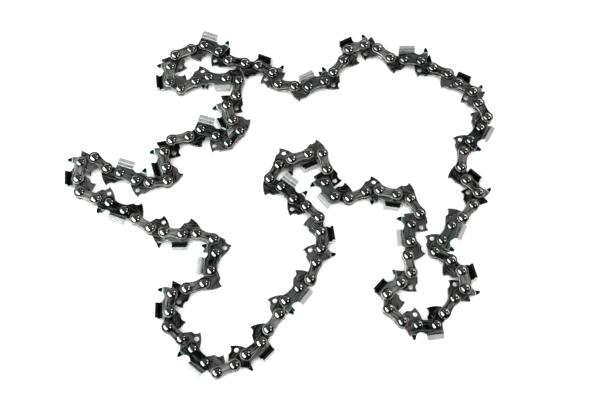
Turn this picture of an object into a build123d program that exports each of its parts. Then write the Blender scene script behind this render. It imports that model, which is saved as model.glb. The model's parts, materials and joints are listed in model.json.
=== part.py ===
"""A chainsaw chain: a closed loop of drive links, tie straps and cutters, lying on its side in loose bends.

Each link has its own small frame: x runs from its rear rivet to its front rivet, the way the chain cuts,
y points out of the loop, to the side of the teeth, and z = 0 is the middle of the drive links.
"""

import os
from math import cos, degrees, hypot, radians, sin, tan

from build123d import *

# Pitch: half the distance over three rivets, shared by a drive link and a strap
PITCH = 8.255
DRIVE_SPAN = 7.5
STRAP_SPAN = 2 * PITCH - DRIVE_SPAN

# Sheet thicknesses and clearances
DRIVE_GAUGE = 1.5
STRAP_THICKNESS = 1.25
SIDE_PLAY = 0.05
RUNNING_CLEARANCE = 0.06
RIVET_FIT = 0.01

# Rivets: a shank through three plates, with a coned head on both sides
SHANK_RADIUS = 1.7
HEAD_RADIUS = 2.2
HEAD_TOP_RADIUS = 1.4
HEAD_HEIGHT = 0.7

# Straps: round ends about the rivets, and a waist between them
STRAP_END_RADIUS = 3.1
STRAP_WAIST = 4.6
STRAP_END_ANGLE = 240

# Drive links: round ends, a saddle between them, and a tang that runs in the bar's groove
DRIVE_END_RADIUS = 3.0
SADDLE_HEIGHT = 2.05
TANG_DEPTH = 8.5
TANG_TIP_X = 3.1
TANG_BACK_SAG = 0.75
HOOK_SAG = 0.95
HEEL_X = 6.3
HEEL_DEPTH = 5.9
REAR_END_ANGLE = 128
FRONT_END_ANGLE = 126
OIL_HOLE_RADIUS = 1.3
OIL_HOLE_X = 2.1
OIL_HOLE_DEPTH = 4.9
BUMPER_HEIGHT = 6.2
BUMPER_REAR_X = 2.1
BUMPER_FRONT_X = 2.7
BUMPER_REAR_FOOT_X = 0.4
BUMPER_FRONT_FOOT_X = 6.6
BUMPER_FOOT_HEIGHT = 1.9

# Cutters: heights above the rivet line, and distances ahead of the rear rivet
TOOTH_HEIGHT = 8.0
TOOTH_FRONT_X = 4.4
TOOTH_LENGTH = 7.7
TOOTH_FALL = 1.1
TOOTH_REACH = 4.0
TOOTH_SHEET = 1.2
TOOTH_EDGE_PAST_MIDDLE = 0.75
TOOTH_LEAN = 0.6
TOOTH_CORNER = 0.8
SHOULDER_HEIGHT = 4.5
SHOULDER_RUN = 1.0
TOOTH_ROOT_HEIGHT = 3.6
FILING_ANGLE = 30
GULLET_REAR_X = 5.5
GULLET_X = 7.8
GULLET_HEIGHT = 3.7
GAUGE_SETTING = 0.7
GAUGE_TIP_X = 10.9
GAUGE_REAR_X = 10.1
GAUGE_REAR_HEIGHT = 5.4
GAUGE_TIP_WIDTH = 0.5
GAUGE_BREAST_X = 12.5
GAUGE_BREAST_HEIGHT = 4.4
GAUGE_FOOT_ANGLE = 15

# The lie of the loop: each link's heading in whole degrees, read off the picture like a cord's route. The
# kinds of link take turns all the way round. The loop is held in four runs that hinge at their first rivet.
# Facing runs span equal and opposite distances, so the hinge rivets stay the corners of a parallelogram.
LINK_KINDS = ("plain drive link", "cutter", "bumper drive link", "tie straps")
LIE = {
    "right_run": (
        -5, -5, -30, -22,
        -45, -32, -67, -63,
        -123, -126, -119, -101,
        -70, -48, -114, -128,
        -143, -121, -123, -27,
        -46, -81, -137, -124,
        -125, -179, 169, 138,
        96, 42, 44, 100,
        80, 87, 54,
    ),
    "middle_run": (
        121,
        164, 166, -170, -156,
        175, 125, 83, 106,
        -176, -161, -151, -119,
        -34, -45, -29, -42,
        -82, -88, -106, -107,
        -140, -134, -113, -123,
        -116, -140, -136, -155,
        144, 135, 140,
    ),
    "left_run": (
        142,
        90, 86, 22, 19,
        65, 79, 103, 162,
        -176, 175, 166, 149,
        146, 154, 165, 158,
        104, 88, 22, -39,
        -18, -24, -8, 8,
        99,
    ),
    "top_run": (
        102, 61, 15,
        36, -23, -30, 51,
        124, 112, 52, 83,
        172, 177, -160, -148,
        149, 91, 71, 26,
        22, -25, -41, -10,
        -7, -27, -66, -7,
        0, 23, 48, 56,
        66, 21, -15, -39,
    ),
}
FACING_RUNS = (("right_run", "left_run"), ("middle_run", "top_run"))
CLOSING_PASSES = 6

# Heights above the middle of the drive links
STRAP_INNER = DRIVE_GAUGE / 2 + SIDE_PLAY
STRAP_OUTER = STRAP_INNER + STRAP_THICKNESS
MIDDLE_HEIGHT = TOOTH_REACH

# The run of each link, by number
run_of = [run for run, lie in LIE.items() for _ in lie]


def span_of(link):
    """Distance between a link's rivets: drive links have the even numbers, straps the odd ones."""
    return DRIVE_SPAN if link % 2 == 0 else STRAP_SPAN


def closed(headings, links):
    """Turns these links by the least amount that brings their spans back to where they start."""
    for _ in range(CLOSING_PASSES):
        steps = [(span_of(k) * cos(headings[k]), span_of(k) * sin(headings[k])) for k in links]
        off_x = sum(x for x, y in steps)
        off_y = sum(y for x, y in steps)
        xx = sum(x * x for x, y in steps)
        xy = sum(x * y for x, y in steps)
        yy = sum(y * y for x, y in steps)
        det = xx * yy - xy * xy
        pull_x = (off_x * xx + off_y * xy) / det
        pull_y = (off_x * xy + off_y * yy) / det
        for k, (x, y) in zip(links, steps):
            headings[k] += pull_x * y - pull_y * x
    return headings


def lay_loop():
    """Each link's heading in radians and the place of its rear rivet."""
    headings = [radians(heading) for lie in LIE.values() for heading in lie]
    for pair in FACING_RUNS:
        headings = closed(headings, [k for k, run in enumerate(run_of) if run in pair])
    x = y = 0
    rivets = []
    for k, heading in enumerate(headings):
        rivets.append((x, y))
        x += span_of(k) * cos(heading)
        y += span_of(k) * sin(heading)
    return headings, rivets


def rivet_holes(span, radius):
    """Takes the two rivet holes out of a link's sketch."""
    with Locations((0, 0), (span, 0)):
        Circle(radius, mode=Mode.SUBTRACT)


# Tie strap: a flat figure of eight
with BuildPart() as strap:
    with BuildSketch(Plane.XY.offset(STRAP_INNER)):
        with BuildLine():
            rear = CenterArc((0, 0), STRAP_END_RADIUS, 180 - STRAP_END_ANGLE / 2, STRAP_END_ANGLE)
            front = CenterArc((STRAP_SPAN, 0), STRAP_END_RADIUS, -STRAP_END_ANGLE / 2, STRAP_END_ANGLE)
            ThreePointArc(rear @ 1, (STRAP_SPAN / 2, -STRAP_WAIST / 2), front @ 0)
            ThreePointArc(front @ 1, (STRAP_SPAN / 2, STRAP_WAIST / 2), rear @ 0)
        make_face()
        rivet_holes(STRAP_SPAN, SHANK_RADIUS + RIVET_FIT)
    extrude(amount=STRAP_THICKNESS)

# Plain drive link: its tang falls along the back to a sharp tip, with a hook and a heel ahead of it
with BuildPart() as drive_link:
    with BuildSketch(Plane.XY.offset(-DRIVE_GAUGE / 2)) as drive_face:
        with BuildLine():
            rear = CenterArc((0, 0), DRIVE_END_RADIUS, 90, REAR_END_ANGLE)
            front = CenterArc((DRIVE_SPAN, 0), DRIVE_END_RADIUS, 90, -FRONT_END_ANGLE)
            tang_tip = (TANG_TIP_X, -TANG_DEPTH)
            tang_heel = (HEEL_X, -HEEL_DEPTH)
            SagittaArc(rear @ 1, tang_tip, TANG_BACK_SAG)
            SagittaArc(tang_tip, tang_heel, -HOOK_SAG)
            Line(tang_heel, front @ 1)
            ThreePointArc(front @ 0, (DRIVE_SPAN / 2, SADDLE_HEIGHT), rear @ 0)
        make_face()
        rivet_holes(DRIVE_SPAN, SHANK_RADIUS + RUNNING_CLEARANCE)
    extrude(amount=DRIVE_GAUGE)

# Bumper drive link: the same, with a hump ahead of the depth gauge and an oil hole through the tang
with BuildPart() as bumper_link:
    with BuildSketch(Plane.XY.offset(-DRIVE_GAUGE / 2)):
        add(drive_face.sketch)
        with BuildLine():
            Polyline(
                (BUMPER_REAR_FOOT_X, BUMPER_FOOT_HEIGHT),
                (BUMPER_REAR_X, BUMPER_HEIGHT),
                (BUMPER_FRONT_X, BUMPER_HEIGHT),
                (BUMPER_FRONT_FOOT_X, BUMPER_FOOT_HEIGHT),
                close=True,
            )
        make_face()
        with Locations((OIL_HOLE_X, -OIL_HOLE_DEPTH)):
            Circle(OIL_HOLE_RADIUS, mode=Mode.SUBTRACT)
    extrude(amount=DRIVE_GAUGE)

# Right-hand cutter, on the upper side: a strap with a depth gauge, and a tooth bent up and over from it
with BuildPart() as right_cutter:
    with BuildSketch(Plane.XY.offset(STRAP_INNER)):
        with BuildLine():
            rear = CenterArc((0, 0), STRAP_END_RADIUS, 180, STRAP_END_ANGLE / 2)
            front_angle = STRAP_END_ANGLE / 2 + GAUGE_FOOT_ANGLE
            front = CenterArc((STRAP_SPAN, 0), STRAP_END_RADIUS, -STRAP_END_ANGLE / 2, front_angle)
            gauge_height = TOOTH_HEIGHT - GAUGE_SETTING
            gauge_rear = (GAUGE_REAR_X, GAUGE_REAR_HEIGHT)
            gauge_tip = (GAUGE_TIP_X, gauge_height)
            gauge_front = (GAUGE_TIP_X + GAUGE_TIP_WIDTH, gauge_height)
            gullet_rear = (GULLET_REAR_X, SHOULDER_HEIGHT)
            body_back = (TOOTH_FRONT_X - TOOTH_LENGTH, TOOTH_ROOT_HEIGHT - TOOTH_FALL)
            ThreePointArc(rear @ 1, (STRAP_SPAN / 2, -STRAP_WAIST / 2), front @ 0)
            ThreePointArc(front @ 1, (GAUGE_BREAST_X, GAUGE_BREAST_HEIGHT), gauge_front)
            Polyline(gauge_front, gauge_tip, gauge_rear)
            ThreePointArc(gauge_rear, (GULLET_X, GULLET_HEIGHT), gullet_rear)
            Polyline(gullet_rear, body_back, rear @ 0)
        make_face()
        rivet_holes(STRAP_SPAN, SHANK_RADIUS + RIVET_FIT)
    extrude(amount=STRAP_THICKNESS)

    # The tooth's section across the chain, seen from the front, drawn at its cutting corner
    tooth_corner = Plane(origin=(TOOTH_FRONT_X, 0, 0), x_dir=(0, 1, 0), z_dir=(1, 0, 0))
    with BuildSketch(tooth_corner) as tooth_section:
        with BuildLine():
            land = SHOULDER_HEIGHT + SHOULDER_RUN
            edge_height = TOOTH_HEIGHT - TOOTH_LEAN
            Polyline(
                (TOOTH_ROOT_HEIGHT, STRAP_OUTER),
                (SHOULDER_HEIGHT, STRAP_OUTER),
                (land, TOOTH_REACH),
                (TOOTH_HEIGHT - TOOTH_CORNER, TOOTH_REACH),
                (TOOTH_HEIGHT, TOOTH_REACH - TOOTH_CORNER),
                (edge_height, -TOOTH_EDGE_PAST_MIDDLE),
                (edge_height - TOOTH_SHEET, -TOOTH_EDGE_PAST_MIDDLE),
                (TOOTH_HEIGHT - TOOTH_SHEET - TOOTH_CORNER, TOOTH_REACH - TOOTH_SHEET),
                (land, TOOTH_REACH - TOOTH_SHEET),
                (SHOULDER_HEIGHT, STRAP_INNER),
                (TOOTH_ROOT_HEIGHT, STRAP_INNER),
                close=True,
            )
        make_face()
    extrude(amount=hypot(TOOTH_LENGTH, TOOTH_FALL), dir=(-TOOTH_LENGTH, -TOOTH_FALL, 0))
    extrude(tooth_section.sketch, amount=GULLET_REAR_X - TOOTH_FRONT_X, dir=(TOOTH_LENGTH, TOOTH_FALL, 0))

    # The front is filed: it leans back from the gullet to the cutting corner, and further back under the top
    with BuildSketch(Plane.XZ.offset(-SHOULDER_HEIGHT)):
        edge_depth = TOOTH_REACH + TOOTH_EDGE_PAST_MIDDLE
        with BuildLine():
            Polyline(
                (GULLET_REAR_X, TOOTH_REACH),
                (GULLET_X, TOOTH_REACH),
                (GULLET_X, -TOOTH_EDGE_PAST_MIDDLE),
                (GULLET_REAR_X - edge_depth * tan(radians(FILING_ANGLE)), -TOOTH_EDGE_PAST_MIDDLE),
                close=True,
            )
        make_face()
    extrude(
        amount=TOOTH_HEIGHT,
        dir=(TOOTH_FRONT_X - GULLET_REAR_X, TOOTH_HEIGHT - SHOULDER_HEIGHT, 0),
        mode=Mode.SUBTRACT,
    )

# Left-hand cutter, on the lower side
with BuildPart() as left_cutter:
    mirror(right_cutter.part, about=Plane.XY)

# Rivet
with BuildPart() as rivet:
    with BuildSketch(Plane.XZ):
        with BuildLine():
            Polyline(
                (0, STRAP_OUTER + HEAD_HEIGHT),
                (HEAD_TOP_RADIUS, STRAP_OUTER + HEAD_HEIGHT),
                (HEAD_RADIUS, STRAP_OUTER),
                (SHANK_RADIUS, STRAP_OUTER),
                (SHANK_RADIUS, -STRAP_OUTER),
                (HEAD_RADIUS, -STRAP_OUTER),
                (HEAD_TOP_RADIUS, -STRAP_OUTER - HEAD_HEIGHT),
                (0, -STRAP_OUTER - HEAD_HEIGHT),
                close=True,
            )
        make_face()
    revolve(axis=Axis.Z)


def place(link, along=0, raised=0):
    """Where a piece of a link stands in the loop, some way along the link and raised from the middle."""
    x, y = rivet_places[link]
    heading = headings[link]
    return Location(
        (x + along * cos(heading), y + along * sin(heading), MIDDLE_HEIGHT + raised),
        (0, 0, degrees(heading)),
    )


# Every piece of the loop: its kind, its solid and its place
headings, rivet_places = lay_loop()
lower_side = -STRAP_INNER - STRAP_OUTER
pieces = []
for link in range(len(headings)):
    turn, step = divmod(link, len(LINK_KINDS))
    right_hand = turn % 2 == 0
    kind = LINK_KINDS[step]
    if kind == "plain drive link":
        pieces.append((link, "drive_links", drive_link, place(link)))
    elif kind == "bumper drive link":
        pieces.append((link, "bumper_drive_links", bumper_link, place(link)))
    elif kind == "tie straps":
        pieces.append((link, "tie_straps", strap, place(link)))
        pieces.append((link, "tie_straps", strap, place(link, raised=lower_side)))
    elif right_hand:
        pieces.append((link, "right_cutters", right_cutter, place(link)))
        pieces.append((link, "cutter_straps", strap, place(link, raised=lower_side)))
    else:
        pieces.append((link, "left_cutters", left_cutter, place(link)))
        pieces.append((link, "cutter_straps", strap, place(link)))
    if span_of(link) == STRAP_SPAN:
        pieces.append((link, "rivets", rivet, place(link)))
        pieces.append((link, "rivets", rivet, place(link, along=STRAP_SPAN)))

# The origin lies under the middle of the loop's outer box
boxes = [solid.part.moved(location).bounding_box() for _, _, solid, location in pieces]
middle = Location(
    (
        -(min(box.min.X for box in boxes) + max(box.max.X for box in boxes)) / 2,
        -(min(box.min.Y for box in boxes) + max(box.max.Y for box in boxes)) / 2,
        0,
    )
)

# One node for each kind of piece in each run, as a group of separate solids
groups = {}
for link, kind, solid, location in pieces:
    groups.setdefault(f"{run_of[link]}_{kind}", []).append((solid, location))

os.makedirs("parts", exist_ok=True)
for node, members in groups.items():
    with BuildPart() as group:
        for solid in {id(solid): solid for solid, _ in members}.values():
            with Locations(*[middle * location for member, location in members if member is solid]):
                add(solid.part, clean=False)
    group.part.label = node
    export_step(group.part, f"parts/{node}.step")
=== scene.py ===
"""Looks of a saw chain loop that lies on its side on white: pressed links, bent cutters and peened rivets.

Each kind of link is modelled once, in millimetres, in its own frame: x runs from its rear rivet to its front
rivet, y points to the side of the teeth, and z = 0 is the middle of the drive links. Copies of it then stand
where the frame's own links are.
"""

import json
from math import atan2, cos, pi, radians, sin, tan

import bmesh
import bpy
from mathutils import Matrix, Quaternion, Vector


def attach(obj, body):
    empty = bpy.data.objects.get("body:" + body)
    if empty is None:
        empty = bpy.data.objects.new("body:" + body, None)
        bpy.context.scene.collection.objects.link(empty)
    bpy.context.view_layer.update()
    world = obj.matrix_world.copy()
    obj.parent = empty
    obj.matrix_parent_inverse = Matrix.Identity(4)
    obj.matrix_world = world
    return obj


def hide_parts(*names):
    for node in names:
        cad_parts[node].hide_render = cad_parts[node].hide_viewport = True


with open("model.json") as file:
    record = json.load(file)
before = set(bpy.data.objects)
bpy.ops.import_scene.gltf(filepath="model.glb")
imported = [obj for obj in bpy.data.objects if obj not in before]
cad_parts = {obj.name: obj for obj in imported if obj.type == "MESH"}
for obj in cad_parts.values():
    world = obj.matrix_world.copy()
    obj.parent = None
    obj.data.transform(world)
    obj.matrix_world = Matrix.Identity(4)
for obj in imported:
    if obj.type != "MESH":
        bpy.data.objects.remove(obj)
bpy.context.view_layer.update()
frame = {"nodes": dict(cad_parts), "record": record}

MM = 0.001

# Plates, in millimetres
DRIVE_SPAN = 7.5
STRAP_SPAN = 9.01
MIDDLE_HEIGHT = 4.0
DRIVE_GAUGE = 1.5
STRAP_INNER = 0.8
STRAP_THICKNESS = 1.25
STRAP_OUTER = STRAP_INNER + STRAP_THICKNESS
SHANK_RADIUS = 1.7
STRAP_RADIUS = 3.1
STRAP_HALF_WAIST = 2.3
STRAP_EDGE = 0.28
NECK_DEGREES = 60
DRIVE_RADIUS = 3.0
DRIVE_EDGE = 0.14
SADDLE = 2.05
TANG_REAR_DEGREES = 218
TANG_FRONT_DEGREES = -36
TANG_TIP = (3.1, -8.5)
TANG_BACK_SAG = 0.75
HOOK_SAG = 0.95
TANG_HEEL = (6.3, -5.9)
BUMPER_REAR = (2.1, 6.2)
BUMPER_FRONT = (2.7, 6.2)
BUMPER_ROUNDING = 0.3
BUMPER_REAR_DEGREES = 75
BUMPER_FRONT_DEGREES = 120
OIL_HOLE = (2.1, -4.9)
OIL_HOLE_RADIUS = 1.15
DIMPLE = (5.6, -4.4)
DIMPLE_RADIUS = 0.75
DIMPLE_DEPTH = 0.3
DIMPLE_SHOULDER = (0.8, 0.6)

# A link has a hole where more than RING_POINTS of its points lie within RING_ROOM of a rivet's shank
RING_ROOM = 0.12
RING_POINTS = 20

# How far a face's normal points up or down: less on a plate's walls and more on its flat faces
WALL_SLOPE = 0.25
FACE_SLOPE = 0.95

# Material numbers: 0 is the plate's own, and those past the rolled edge are on cutters alone
# The number for a tooth's pocket gives it a near-black material that is painted shade
EDGE, FLARE, FILED, POCKET_SHADE, INNER, LAND, CROWN = range(1, 8)

# Rivet heads
HEAD_RADIUS = 2.2
HEAD_RIM = 0.1
HEAD_HEIGHT = 0.95

# Cutters
TOOTH_REACH = 4.0
TOOTH_HEIGHT = 8.0
TOOTH_FRONT_X = 4.8
TOOTH_BACK_X = -3.35
HEEL_X = -3.3
TOOTH_FALL = 1.1
TOOTH_SHEET = 1.2
TOOTH_EDGE_PAST_MIDDLE = 0.75
TOOTH_LEAN = 0.4
LAND_DROP = 0.45
CORNER_DEPTH = 0.35
SHOULDER_HEIGHT = 4.5
SHOULDER_RUN = 1.2
ROOT_HEIGHT = 3.6
ROOT_SINK = 0.03
OUTER_ROUNDINGS = (0.5, 0.5, 0.4)
INNER_ROUNDINGS = (1.7, 0.15, 0.15)
FILING_ANGLE = radians(9)
FILE_HOLLOW = 0.15
CUTTER_EDGE = 0.2
GULLET_REAR = (5.5, 4.5)
GULLET = (7.8, 3.7)
GAUGE_REAR = (9.9, 5.3)
GAUGE_TIP = (10.5, 7.7)
GAUGE_FRONT = (11.4, 7.7)
GAUGE_BREAST = (12.6, 4.6)
GAUGE_FOOT_DEGREES = 15
GAUGE_ROUNDING = 0.25
GAUGE_BEND_HEIGHT = 4.8
GAUGE_BEND_RUN = 1.1
GAUGE_BEND_RISE = 0.7

# Where a depth gauge has a painted highlight on its bend and painted shade on its tip: offsets from its
# rear, and from the height of its bend
GAUGE_START = (-1.2, -0.6)
GAUGE_HIGHLIGHT_LOW = (-0.3, 0.1)
GAUGE_HIGHLIGHT_HIGH = (0.3, 0.7)

# Where a rivet head is painted darker, as shares of its radius, and how much: a middle that is partly dull
# where it was peened and partly painted shade for the dark overhead it would reflect, and painted shade at
# its foot
PEENED_AND_SHADED_RADII = (0.35, 0.62)
PEENED_AND_SHADED_SHARE = 0.8
FOOT_SHADE_RADII = (0.82, 0.94)
FOOT_SHADE_SHARE = 0.9

# Painted shade round the rivet heads and the straps' ends, with some oil dirt, in patches that follow the
# streaks
GRIME_AND_SHADE = (0.008, 0.008, 0.008)
GRIME_AND_SHADE_REACH = 0.9
GRIME_AND_SHADE_SHARE = 0.95
PATCH_STEP = (0.44, 0.56)
PATCH_LEAST = 0.5

# Streaks and grain of the steel, and each link's own tone
TONE_START = 0.137
TONE_STEP = 0.618034
TONE_SHIFT = (40, 17, 9)
STREAK_DEPTH = 0.3
STREAK_STEP = (0.39, 0.64)
ROUGH_STEP = (0.3, 0.7)
ROUGH_FACTORS = (0.85, 1.15)
GRAIN_DEPTH = 0.1

# Sockets of a colour mix, by number because those of its other data types have the same names
MIX_SHARE, MIX_FIRST, MIX_SECOND, MIX_RESULT = 0, 6, 7, 2

# The camera, in millimetres, fitted to the rivets' places in a picture of 600 by 400 pixels
FOCAL_PIXELS = 859.2
FRAME_PIXELS = 600
CAMERA_ELEVATION = radians(70.77)
CAMERA_ROLL = 0.0321
CAMERA_DISTANCE = 439.04
CAMERA_AIM = (10.57, -3.93, 6.4)
SENSOR_WIDTH = 36

# The room, with the floor's half side in metres, and in millimetres the reach of the painted shade near the
# chain where the floor's glow dims
FLOOR_HALF_SIDE = 20
FLOOR_DARK = (0.58, 0.58, 0.58, 1)
FLOOR_LIGHT = (0.62, 0.62, 0.61, 1)
FLOOR_SHADE_REACH = 5
FLOOR_SHADE_STEP = (0.35, 0.55)
FLOOR_GLOW = 0.9
CEILING_ELEVATION = radians(63)
CEILING_STEP = (0.7, 0.94)
ROOM_GREY = 0.02
CEILING_GREY = 0.23
WALL_TOP = radians(6)
WALL_FADE = radians(4)


# Outlines

def arc(centre, radius, start, sweep, steps):
    """Points along an arc, angles in degrees."""
    angles = [radians(start + sweep * k / steps) for k in range(steps + 1)]
    return [(centre[0] + radius * cos(a), centre[1] + radius * sin(a)) for a in angles]


def bulge(start, end, height, steps):
    """Points between two ends along a parabola that stands off their line, to its left."""
    chord = Vector(end) - Vector(start)
    left = Vector((-chord.y, chord.x)).normalized()
    points = []
    for k in range(1, steps):
        t = k / steps
        points.append(tuple(Vector(start) + t * chord + 4 * t * (1 - t) * height * left))
    return points


def bow(start, middle, end, steps):
    """Points between two ends along a curve through a middle point."""
    start, middle, end = Vector(start), Vector(middle), Vector(end)
    near, far = (middle - start).length, (end - middle).length
    split = near / (near + far)
    pull = (middle - (1 - split) ** 2 * start - split ** 2 * end) / (2 * split * (1 - split))
    points = []
    for k in range(1, steps):
        t = k / steps
        points.append(tuple((1 - t) ** 2 * start + 2 * t * (1 - t) * pull + t ** 2 * end))
    return points


def beside(points, distance):
    """The line that runs beside an open line of points, to its right."""
    path = [Vector(point) for point in points]
    ways = [(b - a).normalized() for a, b in zip(path, path[1:])]
    sides = [Vector((way.y, -way.x)) for way in ways]
    moved = [path[0] + distance * sides[0]]
    for point, before, after in zip(path[1:], sides, sides[1:]):
        moved.append(point + distance * (before + after) / (1 + before.dot(after)))
    return moved + [path[-1] + distance * sides[-1]]


def rounded(points, radii, steps):
    """An open line of points with its corners rounded."""
    path = [Vector(point) for point in points]
    line = [tuple(path[0])]
    for before, corner, after, radius in zip(path, path[1:], path[2:], radii):
        back = (before - corner).normalized()
        ahead = (after - corner).normalized()
        reach = radius * tan((pi - back.angle(ahead)) / 2)
        start, end = corner + reach * back, corner + reach * ahead
        for k in range(steps + 1):
            t = k / steps
            line.append(tuple((1 - t) ** 2 * start + 2 * t * (1 - t) * corner + t ** 2 * end))
    return line + [tuple(path[-1])]


def strap_outline():
    sweep = 360 - 2 * NECK_DEGREES
    rear = arc((0, 0), STRAP_RADIUS, NECK_DEGREES, sweep, steps=28)
    front = arc((STRAP_SPAN, 0), STRAP_RADIUS, NECK_DEGREES - 180, sweep, steps=28)
    sag = STRAP_RADIUS * sin(radians(NECK_DEGREES)) - STRAP_HALF_WAIST
    inner_side = bulge(rear[-1], front[0], sag, steps=8)
    outer_side = bulge(front[-1], rear[0], sag, steps=8)
    return rear + inner_side + front + outer_side


def drive_outline(bumper):
    rear_start = BUMPER_REAR_DEGREES if bumper else 90
    front_end = BUMPER_FRONT_DEGREES if bumper else 90
    rear = arc((0, 0), DRIVE_RADIUS, rear_start, TANG_REAR_DEGREES - rear_start, steps=18)
    front_sweep = front_end - TANG_FRONT_DEGREES
    front = arc((DRIVE_SPAN, 0), DRIVE_RADIUS, TANG_FRONT_DEGREES, front_sweep, steps=18)
    back = bulge(rear[-1], TANG_TIP, -TANG_BACK_SAG, steps=10)
    hook = bulge(TANG_TIP, TANG_HEEL, HOOK_SAG, steps=8)
    if bumper:
        corners = [front[-1], BUMPER_FRONT, BUMPER_REAR, rear[0]]
        top = rounded(corners, [BUMPER_ROUNDING] * 2, steps=3)[1:-1]
    else:
        top = bulge(front[-1], rear[0], DRIVE_RADIUS - SADDLE, steps=12)
    return rear + back + [TANG_TIP] + hook + [TANG_HEEL] + front + top


def cutter_outline():
    rear_sweep = 180 - NECK_DEGREES
    front_sweep = rear_sweep + GAUGE_FOOT_DEGREES
    rear = arc((0, 0), STRAP_RADIUS, 180, rear_sweep, steps=14)
    front = arc((STRAP_SPAN, 0), STRAP_RADIUS, NECK_DEGREES - 180, front_sweep, steps=16)
    sag = STRAP_RADIUS * sin(radians(NECK_DEGREES)) - STRAP_HALF_WAIST
    belly = bulge(rear[-1], front[0], sag, steps=8)
    breast = bow(front[-1], GAUGE_BREAST, GAUGE_FRONT, steps=10)
    corners = [breast[-1], GAUGE_FRONT, GAUGE_TIP, GAUGE_REAR]
    tip = rounded(corners, [GAUGE_ROUNDING] * 2, steps=3)[1:]
    gullet = bow(GAUGE_REAR, GULLET, GULLET_REAR, steps=10)
    heel = (HEEL_X, ROOT_HEIGHT - TOOTH_FALL)
    return rear + belly + front + breast + tip + gullet + [GULLET_REAR, heel]


# Meshes of single links

def smooth(mesh, angle=32):
    """Shades a mesh smooth, apart from edges that turn by more than an angle in degrees."""
    for polygon in mesh.polygons:
        polygon.use_smooth = True
    mesh.set_sharp_from_angle(angle=radians(angle))
    return mesh


def plate(outline, holes, low, high, edge):
    """A pressed plate with rolled edges, between two heights."""
    curve = bpy.data.curves.new("plate", "CURVE")
    curve.dimensions = "2D"
    curve.fill_mode = "BOTH"
    curve.bevel_depth = edge
    curve.bevel_resolution = 2
    curve.offset = -edge
    curve.extrude = (high - low) / 2 - edge
    for points in [outline] + holes:
        spline = curve.splines.new("POLY")
        spline.points.add(len(points) - 1)
        spline.use_cyclic_u = True
        for point, (x, y) in zip(spline.points, points):
            point.co = (x, y, 0, 1)
    holder = bpy.data.objects.new("plate", curve)
    bpy.context.scene.collection.objects.link(holder)
    bpy.context.view_layer.update()
    solid = holder.evaluated_get(bpy.context.evaluated_depsgraph_get())
    mesh = bpy.data.meshes.new_from_object(solid)
    bpy.data.objects.remove(holder)
    bpy.data.curves.remove(curve)
    mesh.transform(Matrix.Translation((0, 0, (high + low) / 2)))
    bm = bmesh.new()
    bm.from_mesh(mesh)
    bmesh.ops.remove_doubles(bm, verts=bm.verts, dist=1e-4)
    bm.to_mesh(mesh)
    bm.free()
    return mesh


def mark_edges(mesh):
    """Gives the rolled edges of a plate, between its faces and its walls, their own material."""
    for polygon in mesh.polygons:
        if WALL_SLOPE < abs(polygon.normal.z) < FACE_SLOPE:
            polygon.material_index = EDGE
    return mesh


def turned(profile, steps, name):
    """A mesh turned about z from a profile of (radius, height)."""
    bm = bmesh.new()
    rings = []
    for radius, height in profile:
        if radius == 0:
            rings.append([bm.verts.new((0, 0, height))])
        else:
            circle = arc((0, 0), radius, 0, 360, steps)[:-1]
            rings.append([bm.verts.new((x, y, height)) for x, y in circle])
    for low, high in zip(rings, rings[1:]):
        for k in range(steps):
            n = (k + 1) % steps
            if len(low) == 1:
                bm.faces.new((low[0], high[n], high[k]))
            elif len(high) == 1:
                bm.faces.new((low[k], low[n], high[0]))
            else:
                bm.faces.new((low[k], low[n], high[n], high[k]))
    bmesh.ops.recalc_face_normals(bm, faces=bm.faces)
    mesh = bpy.data.meshes.new(name)
    bm.to_mesh(mesh)
    bm.free()
    return mesh


def joined(name, *meshes):
    """One mesh of several."""
    bm = bmesh.new()
    for mesh in meshes:
        bm.from_mesh(mesh)
    whole = bpy.data.meshes.new(name)
    bm.to_mesh(whole)
    bm.free()
    return whole


def flipped(mesh, name):
    """The mirror image of a link, on the other side of the drive links."""
    copy = mesh.copy()
    copy.name = name
    copy.transform(Matrix.Diagonal((1, 1, -1, 1)))
    copy.flip_normals()
    return copy


def strap_mesh():
    mesh = plate(strap_outline(), [], STRAP_INNER, STRAP_OUTER, STRAP_EDGE)
    return smooth(mark_edges(mesh))


def dimple_mesh():
    """The dished floor of a stamped dimple, level with the plate's face at its rim."""
    top = DRIVE_GAUGE / 2
    rim = DIMPLE_RADIUS + DRIVE_EDGE
    wide, deep = DIMPLE_SHOULDER
    profile = [(rim, top), (wide * rim, top - deep * DIMPLE_DEPTH), (0, top - DIMPLE_DEPTH)]
    dish = turned(profile, steps=20, name="dimple")
    dish.transform(Matrix.Translation((*DIMPLE, 0)))
    return dish


def drive_mesh(bumper):
    half = DRIVE_GAUGE / 2
    if bumper:
        holes = [arc(OIL_HOLE, OIL_HOLE_RADIUS, 0, -360, steps=28)[:-1]]
        return smooth(mark_edges(plate(drive_outline(True), holes, -half, half, DRIVE_EDGE)))
    holes = [arc(DIMPLE, DIMPLE_RADIUS, 0, -360, steps=20)[:-1]]
    body = mark_edges(plate(drive_outline(False), holes, -half, half, DRIVE_EDGE))
    dish = dimple_mesh()
    return smooth(joined("drive", body, dish, flipped(dish, "dish")))


def tooth_section():
    """The tooth's outer and inner lines across the chain, as (y, z), at its cutting corner."""
    corners = [
        (ROOT_HEIGHT, STRAP_OUTER - ROOT_SINK),
        (SHOULDER_HEIGHT, STRAP_OUTER - ROOT_SINK),
        (SHOULDER_HEIGHT + SHOULDER_RUN, TOOTH_REACH),
        (TOOTH_HEIGHT, TOOTH_REACH - LAND_DROP),
        (TOOTH_HEIGHT - TOOTH_LEAN, -TOOTH_EDGE_PAST_MIDDLE),
    ]
    outer = rounded(corners, OUTER_ROUNDINGS, steps=5)
    inner = rounded(beside(corners, TOOTH_SHEET), INNER_ROUNDINGS, steps=5)
    return outer, inner


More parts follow.
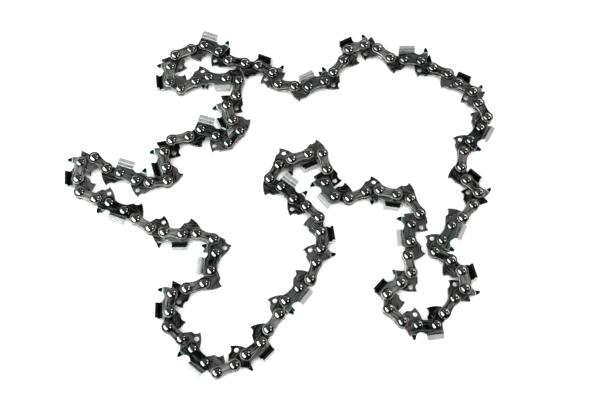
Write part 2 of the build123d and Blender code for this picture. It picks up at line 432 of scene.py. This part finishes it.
def tooth_front(y, z):
    """How far forward the filed front stands at a point of the tooth's section."""
    rise = max(0.0, y - SHOULDER_HEIGHT) / (TOOTH_HEIGHT - SHOULDER_HEIGHT)
    hollow = rise * (2 - rise)
    lead = GULLET_REAR[0] + hollow * (TOOTH_FRONT_X - GULLET_REAR[0])
    return lead - (TOOTH_REACH - z) * tan(FILING_ANGLE)


def tooth_back(y):
    """How far back the tooth reaches at a height of its section."""
    rise = min(1.0, max(0.0, (y - ROOT_HEIGHT) / (SHOULDER_HEIGHT + SHOULDER_RUN - ROOT_HEIGHT)))
    return HEEL_X + rise * (TOOTH_BACK_X - HEEL_X)


def tooth_mesh():
    """The bent tooth: plated outer face, an inner face painted dark as shade in its pocket, and a filed
    front that leads at the corner.
    """
    stations = 6
    outer, inner = tooth_section()
    land_height = SHOULDER_HEIGHT + SHOULDER_RUN
    crown_reach = TOOTH_REACH - LAND_DROP - CORNER_DEPTH
    land = next(j for j, (y, z) in enumerate(outer) if y > land_height)
    crown = next(j for j, (y, z) in enumerate(outer) if j > land and z < crown_reach)
    section = [(y, z, tooth_front(y, z)) for y, z in outer]
    section += [(y, z, tooth_front(y, z) - FILE_HOLLOW) for y, z in reversed(inner)]
    bm = bmesh.new()
    rows = []
    for k in range(stations + 1):
        t = k / stations
        row = []
        for y, z, front in section:
            x = tooth_back(y) + t * (front - tooth_back(y))
            fall = TOOTH_FALL * (TOOTH_FRONT_X - x) / (TOOTH_FRONT_X - TOOTH_BACK_X)
            row.append(bm.verts.new((x, y - fall, z)))
        rows.append(row)
    n = len(section)
    for low, high in zip(rows, rows[1:]):
        for j in range(n):
            m = (j + 1) % n
            face = bm.faces.new((low[j], low[m], high[m], high[j]))
            if j < land:
                face.material_index = FLARE
            elif j < crown:
                face.material_index = LAND
            elif j < len(outer) - 1:
                face.material_index = CROWN
            elif section[j][0] < SHOULDER_HEIGHT:
                face.material_index = INNER
            # Higher up, the inner face is near-black painted shade in the tooth's pocket
            else:
                face.material_index = POCKET_SHADE
    back = bm.faces.new(rows[0])
    back.material_index = FILED
    front = bm.faces.new(rows[-1])
    front.material_index = FILED
    bmesh.ops.triangulate(bm, faces=[back, front])
    bmesh.ops.recalc_face_normals(bm, faces=bm.faces)
    mesh = bpy.data.meshes.new("tooth")
    bm.to_mesh(mesh)
    bm.free()
    return mesh


def bend_gauge(mesh):
    """Bends the depth gauge's tip out to the side of the tooth."""
    steps = 4
    bm = bmesh.new()
    bm.from_mesh(mesh)
    for k in range(steps + 1):
        height = GAUGE_BEND_HEIGHT + GAUGE_BEND_RUN * k / steps
        geometry = list(bm.verts) + list(bm.edges) + list(bm.faces)
        cut = {"plane_co": (0, height, 0), "plane_no": (0, 1, 0)}
        bmesh.ops.bisect_plane(bm, geom=geometry, dist=1e-5, **cut)
    for vertex in bm.verts:
        t = min(1.0, max(0.0, (vertex.co.y - GAUGE_BEND_HEIGHT) / GAUGE_BEND_RUN))
        vertex.co.z += GAUGE_BEND_RISE * t * t * (3 - 2 * t)
    bm.to_mesh(mesh)
    bm.free()
    return mesh


def cutter_mesh():
    """A cutter's plate, with its own material on the face towards the drive links, and its tooth."""
    base = mark_edges(plate(cutter_outline(), [], STRAP_INNER, STRAP_OUTER, CUTTER_EDGE))
    for polygon in base.polygons:
        if polygon.normal.z < -FACE_SLOPE:
            polygon.material_index = INNER
    base = bend_gauge(base)
    return smooth(joined("cutter", base, tooth_mesh()), angle=38)


def rivet_mesh():
    """A rivet with a domed head on both sides, as wide as its heads between them, where it is hidden."""
    steps = 7
    rise = HEAD_HEIGHT - HEAD_RIM
    curve = (HEAD_RADIUS ** 2 + rise ** 2) / (2 * rise)
    head = [(HEAD_RADIUS, STRAP_OUTER)]
    for k in range(steps + 1):
        radius = HEAD_RADIUS * (1 - k / steps)
        drop = curve - (curve ** 2 - radius ** 2) ** 0.5
        head.append((radius, STRAP_OUTER + HEAD_HEIGHT - drop))
    lower = [(radius, -height) for radius, height in reversed(head)]
    return smooth(turned(lower + head, steps=32, name="rivet"), angle=50)


# Where the links are

def solids_of(node):
    """The separate solids of a node, each as a list of points."""
    bm = bmesh.new()
    bm.from_mesh(frame["nodes"][node].data)
    bmesh.ops.remove_doubles(bm, verts=bm.verts, dist=1e-6)
    seen = set()
    solids = []
    for start in bm.verts:
        if start.index in seen:
            continue
        stack = [start]
        seen.add(start.index)
        points = []
        while stack:
            vertex = stack.pop()
            points.append(vertex.co.copy())
            for edge in vertex.link_edges:
                other = edge.other_vert(vertex)
                if other.index not in seen:
                    seen.add(other.index)
                    stack.append(other)
        solids.append(points)
    bm.free()
    return solids


def middle_of(points):
    low = Vector([min(p[k] for p in points) for k in range(3)])
    high = Vector([max(p[k] for p in points) for k in range(3)])
    return (low + high) / 2


def link_frame(points, rivets, tooth_side):
    """A link's own frame, from the two rivets whose holes it has and the side that its bulk lies on."""
    least, most = (SHANK_RADIUS - RING_ROOM) * MM, (SHANK_RADIUS + RING_ROOM) * MM
    ends = []
    for rivet in rivets:
        ring = [p for p in points if least < (p.xy - rivet.xy).length < most]
        if len(ring) > RING_POINTS:
            ends.append(rivet.xy)
    rear, front = ends
    side = (front - rear).cross(middle_of(points).xy - rear)
    if side * tooth_side < 0:
        rear, front = front, rear
    heading = atan2((front - rear).y, (front - rear).x)
    place = Matrix.Translation((rear.x, rear.y, MIDDLE_HEIGHT * MM)) @ Matrix.Rotation(heading, 4, "Z")
    return place @ Matrix.Scale(MM, 4)


# Pieces

def stand(name, copies, materials):
    """One piece of many copies of links: each copy keeps its own coordinates and a tone of its own."""
    bm = bmesh.new()
    own = bm.verts.layers.float_vector.new("link_co")
    tone = bm.verts.layers.float.new("tone")
    for number, (mesh, place) in enumerate(copies):
        start = len(bm.verts)
        bm.from_mesh(mesh)
        bm.verts.ensure_lookup_table()
        shade = (number * TONE_STEP + TONE_START * len(name)) % 1.0
        for vertex in bm.verts[start:]:
            vertex[own] = vertex.co
            vertex[tone] = shade
            vertex.co = place @ vertex.co
    mesh = bpy.data.meshes.new(name)
    bm.to_mesh(mesh)
    bm.free()
    for material in materials:
        mesh.materials.append(material)
    piece = bpy.data.objects.new(name, mesh)
    bpy.context.scene.collection.objects.link(piece)
    return piece


# Materials

def node_material(name):
    material = bpy.data.materials.new(name)
    material.use_nodes = True
    tree = material.node_tree
    return material, tree, tree.nodes["Principled BSDF"]


def fade(tree, value, low, high, start=0.0, end=1.0):
    """One number below a value and another above a higher value, with a soft step between."""
    step = tree.nodes.new("ShaderNodeMapRange")
    step.interpolation_type = "SMOOTHSTEP"
    step.inputs["From Min"].default_value = low
    step.inputs["From Max"].default_value = high
    step.inputs["To Min"].default_value = start
    step.inputs["To Max"].default_value = end
    tree.links.new(value, step.inputs["Value"])
    return step.outputs["Result"]


def combined(tree, operation, first, second):
    """Two numbers as one: the second is a socket or a plain number."""
    node = tree.nodes.new("ShaderNodeMath")
    node.operation = operation
    tree.links.new(first, node.inputs[0])
    if isinstance(second, float):
        node.inputs[1].default_value = second
    else:
        tree.links.new(second, node.inputs[1])
    return node.outputs[0]


def toned(tree, share, colour, other):
    """A colour that gives way to another by a share."""
    node = tree.nodes.new("ShaderNodeMix")
    node.data_type = "RGBA"
    tree.links.new(share, node.inputs[MIX_SHARE])
    tree.links.new(colour, node.inputs[MIX_FIRST])
    node.inputs[MIX_SECOND].default_value = (*other, 1)
    return node.outputs[MIX_RESULT]


def rivet_shade_and_grime(tree, place, span, radius):
    """A share of painted shade, with some oil dirt, round a link's two rivets, which thins out past a
    radius.
    """
    flat = tree.nodes.new("ShaderNodeMapping")
    flat.inputs["Scale"].default_value = (1, 1, 0)
    tree.links.new(place, flat.inputs["Vector"])
    reaches = []
    for end in (0, span):
        reach = tree.nodes.new("ShaderNodeVectorMath")
        reach.operation = "DISTANCE"
        tree.links.new(flat.outputs["Vector"], reach.inputs[0])
        reach.inputs[1].default_value = (end, 0, 0)
        reaches.append(reach.outputs["Value"])
    nearest = combined(tree, "MINIMUM", *reaches)
    return fade(tree, nearest, radius, radius + GRIME_AND_SHADE_REACH, GRIME_AND_SHADE_SHARE, 0.0)


def rivet_parts(tree, place):
    """Shares of a rivet's darker middle, partly dull where it was peened and partly painted shade, and of
    the painted shade at its foot.
    """
    flat = tree.nodes.new("ShaderNodeMapping")
    flat.inputs["Scale"].default_value = (1, 1, 0)
    tree.links.new(place, flat.inputs["Vector"])
    reach = tree.nodes.new("ShaderNodeVectorMath")
    reach.operation = "LENGTH"
    tree.links.new(flat.outputs["Vector"], reach.inputs[0])
    start, end = [share * HEAD_RADIUS for share in PEENED_AND_SHADED_RADII]
    middle = fade(tree, reach.outputs["Value"], start, end, PEENED_AND_SHADED_SHARE, 0.0)
    start, end = [share * HEAD_RADIUS for share in FOOT_SHADE_RADII]
    return middle, fade(tree, reach.outputs["Value"], start, end, 0.0, FOOT_SHADE_SHARE)


def gauge_parts(tree, place):
    """Shares of the painted highlight on the bend at the foot of a depth gauge, and of the painted shade on
    all of the gauge from there up.
    """
    parts = tree.nodes.new("ShaderNodeSeparateXYZ")
    tree.links.new(place, parts.inputs["Vector"])
    start, end = [GAUGE_REAR[0] + offset for offset in GAUGE_START]
    ahead = fade(tree, parts.outputs["X"], start, end)
    start, end = [GAUGE_BEND_HEIGHT + offset for offset in GAUGE_HIGHLIGHT_LOW]
    above = fade(tree, parts.outputs["Y"], start, end)
    start, end = [GAUGE_BEND_HEIGHT + offset for offset in GAUGE_HIGHLIGHT_HIGH]
    below = fade(tree, parts.outputs["Y"], start, end, 1.0, 0.0)
    tip = combined(tree, "MULTIPLY", ahead, above)
    return combined(tree, "MULTIPLY", tip, below), tip


def steel(name, dark, light, metallic, roughness, streak=(0.16, 1.0), bump=0.15, spread=0.12,
          shade_and_grime=None, foot=None, tip=None, core=None):
    """Steel with streaks, a tone of its own for each link and a slight grain.

    streak says how fine the streaks are along and across the link, and grime gives the link's span and the
    radius round its rivets past which its painted shade and oil dirt thin out. foot, tip and core are the
    colours of the painted highlight on a depth gauge's bent foot, of the painted shade on its tip and of a
    rivet's darker middle, which is partly dull where it was peened and partly painted shade.
    """
    material, tree, shader = node_material(name)
    new, link = tree.nodes.new, tree.links.new
    own = new("ShaderNodeAttribute")
    own.attribute_name = "link_co"
    tone = new("ShaderNodeAttribute")
    tone.attribute_name = "tone"
    place = new("ShaderNodeVectorMath")
    place.operation = "MULTIPLY_ADD"
    place.inputs[1].default_value = TONE_SHIFT
    link(tone.outputs["Fac"], place.inputs[0])
    link(own.outputs["Vector"], place.inputs[2])
    stretch = new("ShaderNodeMapping")
    stretch.inputs["Scale"].default_value = (*streak, STREAK_DEPTH)
    link(place.outputs["Vector"], stretch.inputs["Vector"])
    streaks = new("ShaderNodeTexNoise")
    streaks.inputs["Scale"].default_value = 1
    streaks.inputs["Detail"].default_value = 4
    streaks.inputs["Roughness"].default_value = 0.6
    link(stretch.outputs["Vector"], streaks.inputs["Vector"])
    drift = combined(tree, "MULTIPLY", tone.outputs["Fac"], spread)
    ramp = new("ShaderNodeValToRGB")
    ramp.color_ramp.elements[0].position = STREAK_STEP[0] + spread / 2
    ramp.color_ramp.elements[0].color = (*dark, 1)
    ramp.color_ramp.elements[1].position = STREAK_STEP[1] + spread / 2
    ramp.color_ramp.elements[1].color = (*light, 1)
    link(combined(tree, "ADD", streaks.outputs["Fac"], drift), ramp.inputs["Fac"])
    colour = ramp.outputs["Color"]
    if shade_and_grime:
        # Painted shade with some oil dirt: near-black round the rivets, in patches
        patches = fade(tree, streaks.outputs["Fac"], *PATCH_STEP, 1.0, PATCH_LEAST)
        ring = rivet_shade_and_grime(tree, own.outputs["Vector"], *shade_and_grime)
        colour = toned(tree, combined(tree, "MULTIPLY", ring, patches), colour, GRIME_AND_SHADE)
    if core:
        # Painted shade on the rivet: a darker middle, partly peened, and a near-black ring at the head's
        # foot
        middle, rim = rivet_parts(tree, own.outputs["Vector"])
        colour = toned(tree, rim, toned(tree, middle, colour, core), GRIME_AND_SHADE)
    if foot or tip:
        # Painted shade on the gauge's tip, then a pale painted highlight on its bend
        bend, end = gauge_parts(tree, own.outputs["Vector"])
        colour = toned(tree, end, colour, tip) if tip else colour
        colour = toned(tree, bend, colour, foot) if foot else colour
    link(colour, shader.inputs["Base Color"])
    shader.inputs["Metallic"].default_value = metallic
    rough = new("ShaderNodeMapRange")
    rough.inputs["From Min"].default_value = ROUGH_STEP[0]
    rough.inputs["From Max"].default_value = ROUGH_STEP[1]
    rough.inputs["To Min"].default_value = ROUGH_FACTORS[0] * roughness
    rough.inputs["To Max"].default_value = ROUGH_FACTORS[1] * roughness
    link(streaks.outputs["Fac"], rough.inputs["Value"])
    link(rough.outputs["Result"], shader.inputs["Roughness"])
    grain = new("ShaderNodeTexNoise")
    grain.inputs["Scale"].default_value = 5
    grain.inputs["Detail"].default_value = 5
    link(place.outputs["Vector"], grain.inputs["Vector"])
    raised = new("ShaderNodeBump")
    raised.inputs["Strength"].default_value = bump
    raised.inputs["Distance"].default_value = GRAIN_DEPTH * MM
    link(grain.outputs["Fac"], raised.inputs["Height"])
    link(raised.outputs["Normal"], shader.inputs["Normal"])
    return material


# The finishes of the links
# Painted shade on a depth gauge's tip and a pale painted highlight on its bend
TIP_SHADE = (0.012, 0.016, 0.016)
BEND_HIGHLIGHT = (0.5, 0.68, 0.72)
# A rivet's darker middle: partly the peened pin end, partly painted shade
PEENED_AND_SHADED_CORE = (0.12, 0.12, 0.115)

link_steel = steel("link_steel", (0.011, 0.0115, 0.0115), (0.235, 0.235, 0.228), 1.0, 0.52, spread=0.3,
                   shade_and_grime=(DRIVE_SPAN, STRAP_RADIUS))
strap_steel = steel("strap_steel", (0.02, 0.0195, 0.019), (0.62, 0.602, 0.572), 1.0, 0.48, spread=0.16,
                    shade_and_grime=(STRAP_SPAN, HEAD_RADIUS))
cutter_steel = steel("cutter_steel", (0.006, 0.01, 0.009), (0.23, 0.262, 0.249), 1.0, 0.46, spread=0.26,
                     shade_and_grime=(STRAP_SPAN, HEAD_RADIUS), foot=BEND_HIGHLIGHT, tip=TIP_SHADE)
inner_steel = steel("inner_steel", (0.26, 0.29, 0.28), (0.6, 0.63, 0.62), 1.0, 0.32,
                    foot=BEND_HIGHLIGHT, tip=TIP_SHADE)
# Near-black painted shade for the inside of a tooth's pocket
pocket_shade_steel = steel("pocket_shade_steel", (0.006, 0.006, 0.006), (0.024, 0.024, 0.024), 0.6, 0.5)
edge_steel = steel("edge_steel", (0.04, 0.04, 0.039), (0.95, 0.95, 0.93), 1.0, 0.22, streak=(0.5, 0.5))
flare_chrome = steel("flare_chrome", (0.48, 0.48, 0.47), (0.72, 0.72, 0.705), 1.0, 0.28, streak=(0.3, 2.0))
land_chrome = steel("land_chrome", (0.8, 0.79, 0.77), (0.95, 0.94, 0.92), 0.4, 0.45, streak=(0.3, 2.0))
crown_chrome = steel("crown_chrome", (0.36, 0.355, 0.345), (0.56, 0.55, 0.54), 1.0, 0.34, streak=(0.3, 2.0))
filed_steel = steel("filed_steel", (0.4, 0.41, 0.41), (0.8, 0.8, 0.78), 1.0, 0.3, streak=(2.0, 0.3))
rivet_steel = steel("rivet_steel", (0.36, 0.36, 0.345), (0.78, 0.78, 0.75), 1.0, 0.09,
                    streak=(0.5, 0.5), bump=0.08, core=PEENED_AND_SHADED_CORE)

# One of each link
STRAP = strap_mesh()
LOWER_STRAP = flipped(STRAP, "lower_strap")
CUTTER = cutter_mesh()
LOWER_CUTTER = flipped(CUTTER, "lower_cutter")
DRIVE = drive_mesh(bumper=False)
BUMPER = drive_mesh(bumper=True)
RIVET = rivet_mesh()

strap_look = [strap_steel, edge_steel]
drive_look = [link_steel, edge_steel]
cutter_look = [cutter_steel, edge_steel, flare_chrome, filed_steel,
               pocket_shade_steel, inner_steel, land_chrome, crown_chrome]

# Each kind's mesh above and below the drive links, its materials, its slot, and the side its bulk lies on
LOOKS = {
    "drive_links": (DRIVE, DRIVE, drive_look, "link_steel", -1),
    "bumper_drive_links": (BUMPER, BUMPER, drive_look, "link_steel", -1),
    "tie_straps": (STRAP, LOWER_STRAP, strap_look, "link_steel", 1),
    "cutter_straps": (STRAP, LOWER_STRAP, strap_look, "link_steel", 1),
    "left_cutters": (LOWER_CUTTER, LOWER_CUTTER, cutter_look, "cutter_chrome", 1),
    "right_cutters": (CUTTER, CUTTER, cutter_look, "cutter_chrome", 1),
}

# Every node's links, put in their places
rivets = {}
for node in frame["nodes"]:
    if node.endswith("_rivets"):
        rivets[node] = [middle_of(points) for points in solids_of(node)]
all_rivets = [rivet for places in rivets.values() for rivet in places]

for body, nodes in frame["record"]["behaviour"]["bodies"].items():
    for node in nodes:
        kind = node.removeprefix(body + "_")
        if kind == "rivets":
            copies = []
            for rivet in rivets[node]:
                upright = Matrix.Translation((rivet.x, rivet.y, MIDDLE_HEIGHT * MM))
                copies.append((RIVET, upright @ Matrix.Scale(MM, 4)))
            piece = stand(node + "_shown", copies, [rivet_steel])
        else:
            upper, lower, look, slot, tooth_side = LOOKS[kind]
            copies = []
            for points in solids_of(node):
                mesh = upper if middle_of(points).z > MIDDLE_HEIGHT * MM else lower
                copies.append((mesh, link_frame(points, all_rivets, tooth_side)))
            piece = stand(node + "_shown", copies, look)
        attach(piece, body)
        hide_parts(node)


# Floor, light and camera

def floor_material():
    """Plain white that takes a soft shadow, with painted shade where its glow dims near the chain, and lies
    a little brighter to the eye and in the steel.
    """
    material, tree, shader = node_material("floor")
    new, link = tree.nodes.new, tree.links.new
    noise = new("ShaderNodeTexNoise")
    noise.inputs["Scale"].default_value = 14
    ramp = new("ShaderNodeValToRGB")
    ramp.color_ramp.elements[0].color = FLOOR_DARK
    ramp.color_ramp.elements[1].color = FLOOR_LIGHT
    link(noise.outputs["Fac"], ramp.inputs["Fac"])
    link(ramp.outputs["Color"], shader.inputs["Base Color"])
    shader.inputs["Roughness"].default_value = 0.9
    shader.inputs["Specular IOR Level"].default_value = 0.1
    path = new("ShaderNodeLightPath")
    seen = path.outputs["Is Camera Ray"]
    for ray in ("Is Glossy Ray", "Is Transmission Ray"):
        seen = combined(tree, "MAXIMUM", seen, path.outputs[ray])
    # Painted shade: ambient occlusion dims the floor's glow under and beside the chain
    occlusion_shade = new("ShaderNodeAmbientOcclusion")
    occlusion_shade.samples = 8
    occlusion_shade.inputs["Distance"].default_value = FLOOR_SHADE_REACH * MM
    share = fade(tree, occlusion_shade.outputs["AO"], *FLOOR_SHADE_STEP, 0.0, FLOOR_GLOW)
    shader.inputs["Emission Color"].default_value = (1, 1, 1, 1)
    link(combined(tree, "MULTIPLY", seen, share), shader.inputs["Emission Strength"])
    return material


def make_floor():
    bm = bmesh.new()
    bmesh.ops.create_grid(bm, x_segments=1, y_segments=1, size=FLOOR_HALF_SIDE)
    mesh = bpy.data.meshes.new("floor")
    bm.to_mesh(mesh)
    bm.free()
    mesh.materials.append(floor_material())
    floor = bpy.data.objects.new("floor", mesh)
    bpy.context.scene.collection.objects.link(floor)


def make_world():
    """A dim room with a low white wall all round and a ceiling that is paler towards the back."""
    world = bpy.data.worlds.new("room")
    bpy.context.scene.world = world
    world.use_nodes = True
    tree = world.node_tree
    direction = tree.nodes.new("ShaderNodeTexCoord")
    facing = tree.nodes.new("ShaderNodeVectorMath")
    facing.operation = "DOT_PRODUCT"
    facing.inputs[1].default_value = (0, cos(CEILING_ELEVATION), sin(CEILING_ELEVATION))
    tree.links.new(direction.outputs["Generated"], facing.inputs[0])
    ramp = tree.nodes.new("ShaderNodeValToRGB")
    for element, position, grey in zip(ramp.color_ramp.elements, CEILING_STEP, (ROOM_GREY, CEILING_GREY)):
        element.position = position
        element.color = (grey, grey, grey, 1)
    tree.links.new(facing.outputs["Value"], ramp.inputs["Fac"])
    parts = tree.nodes.new("ShaderNodeSeparateXYZ")
    tree.links.new(direction.outputs["Generated"], parts.inputs["Vector"])
    wall = fade(tree, parts.outputs["Z"], sin(WALL_TOP), sin(WALL_TOP + WALL_FADE), 1.0, 0.0)
    shown = toned(tree, wall, ramp.outputs["Color"], (1, 1, 1))
    tree.links.new(shown, tree.nodes["Background"].inputs["Color"])


def make_light(name, azimuth, elevation, distance, size, radiance, roll=0, color=(1, 1, 1)):
    """A soft box that faces the loop, with its angles in degrees and its distance and size in metres."""
    data = bpy.data.lights.new(name, "AREA")
    data.shape = "RECTANGLE"
    data.size, data.size_y = size
    data.energy = radiance * pi * size[0] * size[1]
    data.color = color
    light = bpy.data.objects.new(name, data)
    a, e = radians(azimuth), radians(elevation)
    light.location = (distance * cos(e) * cos(a), distance * cos(e) * sin(a), distance * sin(e))
    facing = (-light.location).to_track_quat("-Z", "Y") @ Quaternion((0, 0, 1), radians(roll))
    light.rotation_euler = facing.to_euler()
    bpy.context.scene.collection.objects.link(light)


def make_camera():
    data = bpy.data.cameras.new("camera")
    data.sensor_width = SENSOR_WIDTH
    data.lens = SENSOR_WIDTH * FOCAL_PIXELS / FRAME_PIXELS
    data.clip_start = 0.01
    camera = bpy.data.objects.new("camera", data)
    aim = Vector(CAMERA_AIM) * MM
    back = Vector((0, -cos(CAMERA_ELEVATION), sin(CAMERA_ELEVATION)))
    turn = Matrix.Rotation(pi / 2 - CAMERA_ELEVATION, 4, "X") @ Matrix.Rotation(CAMERA_ROLL, 4, "Z")
    camera.matrix_world = Matrix.Translation(aim + back * CAMERA_DISTANCE * MM) @ turn
    bpy.context.scene.collection.objects.link(camera)
    bpy.context.scene.camera = camera


make_floor()
make_world()
make_light("left_box", azimuth=203, elevation=40, distance=0.95, size=(1.7, 0.68), radiance=3.1,
           roll=20, color=(0.92, 1.0, 1.0))
make_light("far_right_lamp", azimuth=45, elevation=27, distance=0.9, size=(0.25, 0.24), radiance=3)
make_light("near_right_lamp", azimuth=-9, elevation=45, distance=0.9, size=(0.25, 0.24), radiance=3,
           color=(1.0, 0.96, 0.95))
make_light("right_strip", azimuth=10, elevation=7, distance=0.9, size=(1.5, 0.16), radiance=2.5,
           color=(1.0, 0.94, 0.93))
make_camera()
bpy.context.scene.view_settings.view_transform = "Standard"
